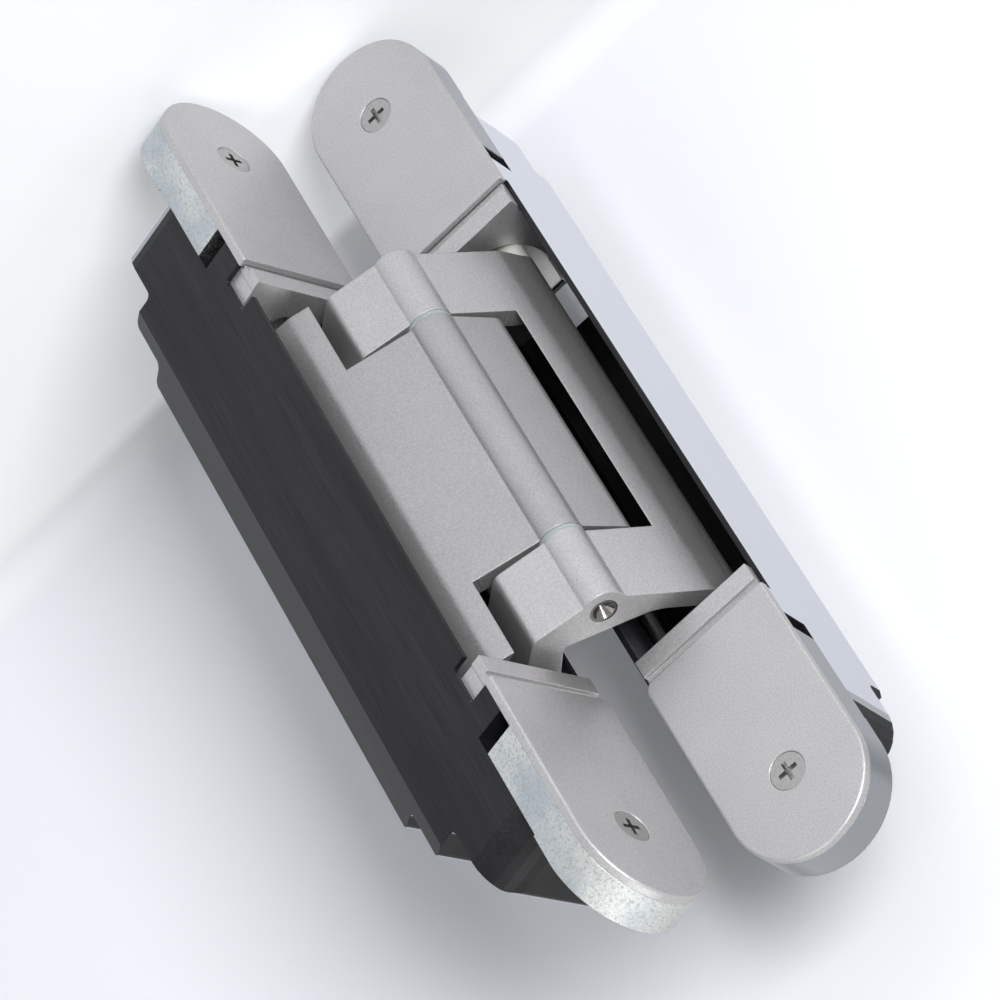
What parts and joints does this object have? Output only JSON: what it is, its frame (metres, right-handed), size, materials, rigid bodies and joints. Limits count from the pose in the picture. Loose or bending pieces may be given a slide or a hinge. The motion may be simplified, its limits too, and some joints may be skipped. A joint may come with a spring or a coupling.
{
  "type": "concealed door hinge",
  "caption": "Long mortised hinge: two round-ended sides with screwed caps, joined by crossing arms that fold into both housings.",
  "frame": {"origin": "middle of the plane on which the frame side's end blocks seat in the door frame", "axes": "+Z along the hinge, +Y into the door frame; the door leaf's side is drawn open by 104 degrees towards +X"},
  "size_m": [0.0816, 0.0736, 0.24],
  "materials": {
    "black_housing": "black, brushed along the length",
    "satin_nickel": "fine matt nickel-grey coat",
    "zinc_plate": "bright zinc plating with a faint spangle",
    "screw_steel": "satin nickel plating",
    "bright_steel": "ground bright steel",
    "washer_plastic": "pale blue-green acetal",
    "bush_plastic": "plain bearing plastic",
    "roller_plastic": "natural acetal"
  },
  "bodies": {
    "frame_side": {"frame_housing": "black_housing", "frame_upper_block": "zinc_plate", "frame_lower_block": "zinc_plate", "frame_upper_cap": "satin_nickel", "frame_lower_cap": "satin_nickel", "frame_upper_cap_screw": "screw_steel", "frame_lower_cap_screw": "screw_steel", "frame_upper_carrier": "satin_nickel", "frame_lower_carrier": "satin_nickel", "frame_pivot_pin": "bright_steel", "frame_block_screws": "screw_steel", "frame_adjusting_screws": "screw_steel"},
    "leaf_side": {"leaf_housing": "black_housing", "leaf_upper_block": "zinc_plate", "leaf_lower_block": "zinc_plate", "leaf_upper_cap": "satin_nickel", "leaf_lower_cap": "satin_nickel", "leaf_upper_cap_screw": "screw_steel", "leaf_lower_cap_screw": "screw_steel", "leaf_upper_carrier": "satin_nickel", "leaf_lower_carrier": "satin_nickel", "leaf_pivot_pin": "bright_steel", "leaf_block_screws": "screw_steel", "leaf_adjusting_screws": "screw_steel"},
    "centre_arm": {"centre_arm": "satin_nickel", "centre_pivot_bushes": "bush_plastic", "centre_slide_pin": "bright_steel", "centre_slide_rollers": "roller_plastic", "centre_bushes": "bush_plastic"},
    "fork_arm": {"fork_arm": "satin_nickel", "fork_pivot_bushes": "bush_plastic", "fork_slide_pin": "bright_steel", "fork_slide_rollers": "roller_plastic", "centre_pin": "bright_steel", "centre_washers": "washer_plastic"}
  },
  "joints": [
    {"name": "arm_swing", "type": "hinge", "parent": "frame_side", "child": "centre_arm", "pos_m": [0.0092, -0.003, 0], "axis": [0, 0, 1], "range_deg": [-65, 47.5]},
    {"name": "arm_cross", "type": "hinge", "parent": "centre_arm", "child": "fork_arm", "pos_m": [0.01037, -0.02337, 0], "axis": [0, 0, 1], "range_deg": [-19, 26]},
    {"name": "leaf_swing", "type": "hinge", "parent": "fork_arm", "child": "leaf_side", "pos_m": [0.03042, -0.01958, 0], "axis": [0, 0, 1], "range_deg": [-65, 47.5]}
  ],
  "couplings": [
    {"joint": "arm_cross", "follows": "arm_swing", "ratio": -0.4},
    {"joint": "leaf_swing", "follows": "arm_swing", "ratio": 1}
  ]
}
